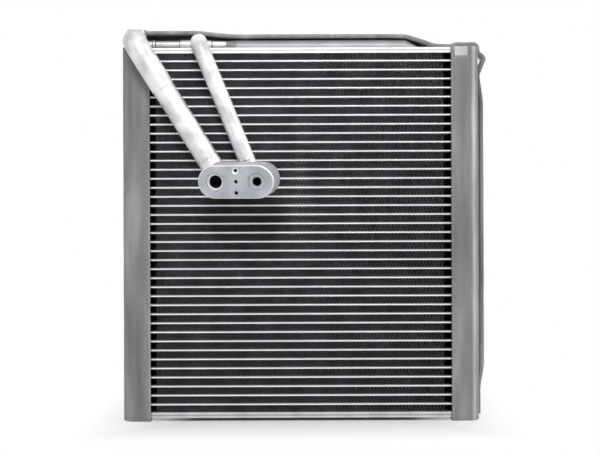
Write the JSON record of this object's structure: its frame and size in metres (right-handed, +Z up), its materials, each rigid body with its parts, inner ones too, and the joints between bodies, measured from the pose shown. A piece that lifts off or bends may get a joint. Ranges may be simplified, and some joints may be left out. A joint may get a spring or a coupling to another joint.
{
  "type": "evaporator core",
  "caption": "Brazed aluminium evaporator core with flat tubes, corrugated fins, two foam-wrapped tanks, two bent pipes and a port block.",
  "frame": {"origin": "middle of the lower side plate's outer face", "axes": "+X along the tubes towards the tank without pipes, +Y from the front face to the back, +Z up along the tanks"},
  "size_m": [0.2677, 0.0989, 0.2869],
  "materials": {
    "core_aluminium": "satin",
    "fin_aluminium": "satin",
    "pipe_aluminium": "satin",
    "block_aluminium": "machined satin",
    "grey_foam": "matte foam"
  },
  "bodies": {
    "root": {"bottom_side_plate": "core_aluminium", "crossover_tube": "pipe_aluminium", "fin_strips": "fin_aluminium", "flange_block": "block_aluminium", "flat_tube_01": "core_aluminium", "flat_tube_02": "core_aluminium", "flat_tube_03": "core_aluminium", "flat_tube_04": "core_aluminium", "flat_tube_05": "core_aluminium", "flat_tube_06": "core_aluminium", "flat_tube_07": "core_aluminium", "flat_tube_08": "core_aluminium", "flat_tube_09": "core_aluminium", "flat_tube_10": "core_aluminium", "flat_tube_11": "core_aluminium", "flat_tube_12": "core_aluminium", "flat_tube_13": "core_aluminium", "flat_tube_14": "core_aluminium", "flat_tube_15": "core_aluminium", "flat_tube_16": "core_aluminium", "flat_tube_17": "core_aluminium", "flat_tube_18": "core_aluminium", "flat_tube_19": "core_aluminium", "flat_tube_20": "core_aluminium", "flat_tube_21": "core_aluminium", "flat_tube_22": "core_aluminium", "flat_tube_23": "core_aluminium", "flat_tube_24": "core_aluminium", "flat_tube_25": "core_aluminium", "flat_tube_26": "core_aluminium", "flat_tube_27": "core_aluminium", "flat_tube_28": "core_aluminium", "flat_tube_29": "core_aluminium", "flat_tube_30": "core_aluminium", "flat_tube_31": "core_aluminium", "flat_tube_32": "core_aluminium", "flat_tube_33": "core_aluminium", "flat_tube_34": "core_aluminium", "flat_tube_35": "core_aluminium", "flat_tube_36": "core_aluminium", "flat_tube_37": "core_aluminium", "flat_tube_38": "core_aluminium", "flat_tube_39": "core_aluminium", "foam_sealing_strip": "grey_foam", "left_baffle": "core_aluminium", "left_bottom_cap": "core_aluminium", "left_foam_wrap": "grey_foam", "left_header_plate": "core_aluminium", "left_tank_cover": "core_aluminium", "left_top_cap": "core_aluminium", "liquid_pipe": "pipe_aluminium", "right_bottom_cap": "core_aluminium", "right_foam_wrap": "grey_foam", "right_header_plate": "core_aluminium", "right_tank_cover": "core_aluminium", "right_top_cap": "core_aluminium", "suction_elbow": "pipe_aluminium", "suction_pipe": "pipe_aluminium", "supply_duct": "pipe_aluminium", "top_side_plate": "core_aluminium"}
  },
  "joints": []
}
